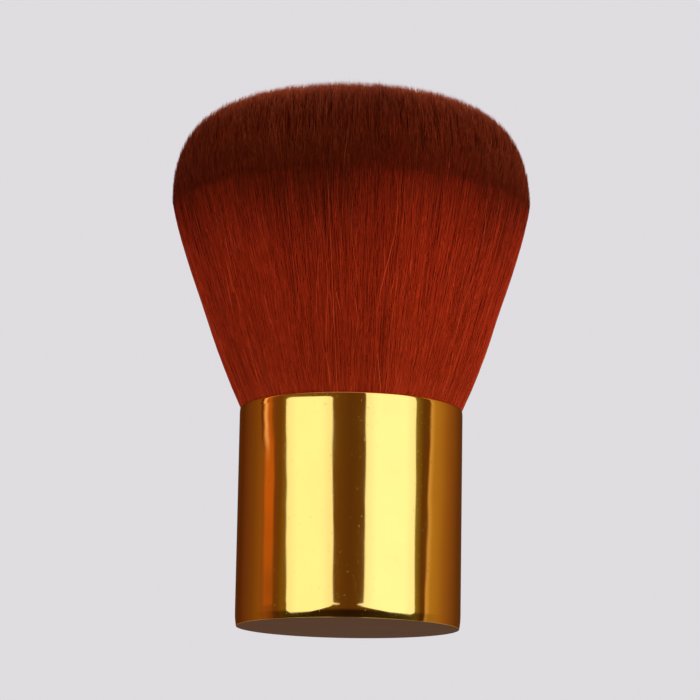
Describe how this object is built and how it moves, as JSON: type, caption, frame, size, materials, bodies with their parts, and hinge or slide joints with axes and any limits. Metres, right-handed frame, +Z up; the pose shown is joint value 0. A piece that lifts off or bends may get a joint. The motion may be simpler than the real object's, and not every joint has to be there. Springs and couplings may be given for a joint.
{
  "type": "foundation brush",
  "caption": "Short dense face brush: domed bristle head in a plain cylindrical metal ferrule that is also the grip and stands on its flat base.",
  "frame": {"origin": "centre of the flat base that the brush stands on", "axes": "+Z up along the brush's axis, from the base towards the bristles; +X and +Y lie in the plane of the base, and the brush is round about +Z"},
  "size_m": [0.0516, 0.0516, 0.0768],
  "materials": {
    "gold_plated_aluminium": "polished gold-coloured plating",
    "hot_glue": "translucent cream",
    "steel": "turned",
    "moulded_plastic": "as moulded",
    "black_plastic": "as moulded",
    "epoxy": "cured resin",
    "binding_thread": "waxed thread",
    "dyed_fibre": "red-brown fibre with a darker tip zone"
  },
  "bodies": {
    "root": {"ferrule_cup": "gold_plated_aluminium", "slug_adhesive": "hot_glue", "weight_slug": "steel", "spacer_plug": "moulded_plastic", "hair_cup": "black_plastic", "glue_plug": "epoxy", "root_binding": "binding_thread", "bristle_bundle": "dyed_fibre"}
  },
  "joints": []
}
